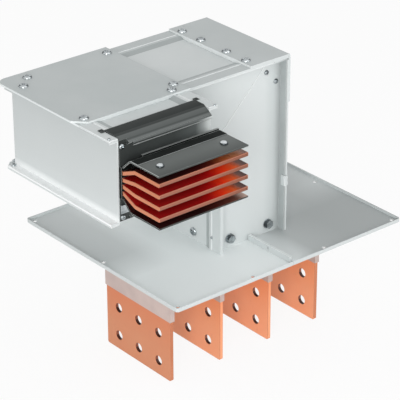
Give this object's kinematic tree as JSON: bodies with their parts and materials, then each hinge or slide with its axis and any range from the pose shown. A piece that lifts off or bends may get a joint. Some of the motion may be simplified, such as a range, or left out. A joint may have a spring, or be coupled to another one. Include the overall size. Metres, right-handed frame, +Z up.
{
  "type": "busway feed-in elbow",
  "caption": "Flanged busway feed-in elbow: a riser turns into a short arm and a joint end with fanned copper bars, and drilled copper flags hang below the flange.",
  "frame": {"origin": "centre of the flange's hole pattern, on the flange's underside and on the riser's axis", "axes": "+Z up along the riser, -X along the arm to the elbow, -Y out of the joint end; the flags hang along -Z"},
  "size_m": [0.557, 0.443, 0.5006],
  "materials": {
    "housing_paint": "satin light grey paint",
    "cap_paint": "satin mid grey paint",
    "flange_paint": "semi-gloss light grey paint",
    "rail_paint": "satin dark grey paint",
    "guard": "matte dark grey sheet",
    "insulator": "matte black moulding",
    "copper": "satin bare copper",
    "sleeve": "translucent insulating sleeve",
    "zinc": "bright zinc plate"
  },
  "bodies": {
    "root": {"arm_sheet_bottom": "housing_paint", "arm_sheet_top": "housing_paint", "arm_supports": "insulator", "arm_wall_back": "housing_paint", "arm_wall_front": "housing_paint", "bar_holder": "insulator", "base_bolts": "zinc", "base_nuts": "zinc", "base_washers": "zinc", "conductor_1": "copper", "conductor_2": "copper", "conductor_3": "copper", "conductor_4": "copper", "corner_cap": "housing_paint", "corner_cap_screws": "zinc", "edge_screws": "zinc", "elbow_cap": "cap_paint", "elbow_cap_screws": "zinc", "elbow_plate_bottom": "housing_paint", "elbow_plate_top": "housing_paint", "end_rail_bottom": "rail_paint", "end_rail_top": "rail_paint", "flag_1": "copper", "flag_2": "copper", "flag_3": "copper", "flag_4": "copper", "flange_half_left": "flange_paint", "flange_half_right": "flange_paint", "guard_plate_bottom": "guard", "guard_plate_top": "guard", "guard_rivets": "zinc", "guard_strips": "insulator", "joint_bar_1": "copper", "joint_bar_2": "copper", "joint_bar_3": "copper", "joint_bar_4": "copper", "joint_barriers": "insulator", "joint_sheet_bottom": "housing_paint", "joint_sheet_top": "housing_paint", "joint_wall_left": "housing_paint", "joint_wall_right": "housing_paint", "lip_bolts": "zinc", "lip_clips": "housing_paint", "mouth_bolts": "zinc", "mouth_brackets": "zinc", "riser_sheet_inner": "housing_paint", "riser_sheet_outer": "housing_paint", "riser_supports": "insulator", "riser_wall_back": "housing_paint", "riser_wall_front": "housing_paint", "seam_screws": "zinc", "side_bolts": "zinc", "sleeve_1": "sleeve", "sleeve_2": "sleeve", "sleeve_3": "sleeve", "sleeve_4": "sleeve", "wall_screws": "zinc"}
  },
  "joints": []
}
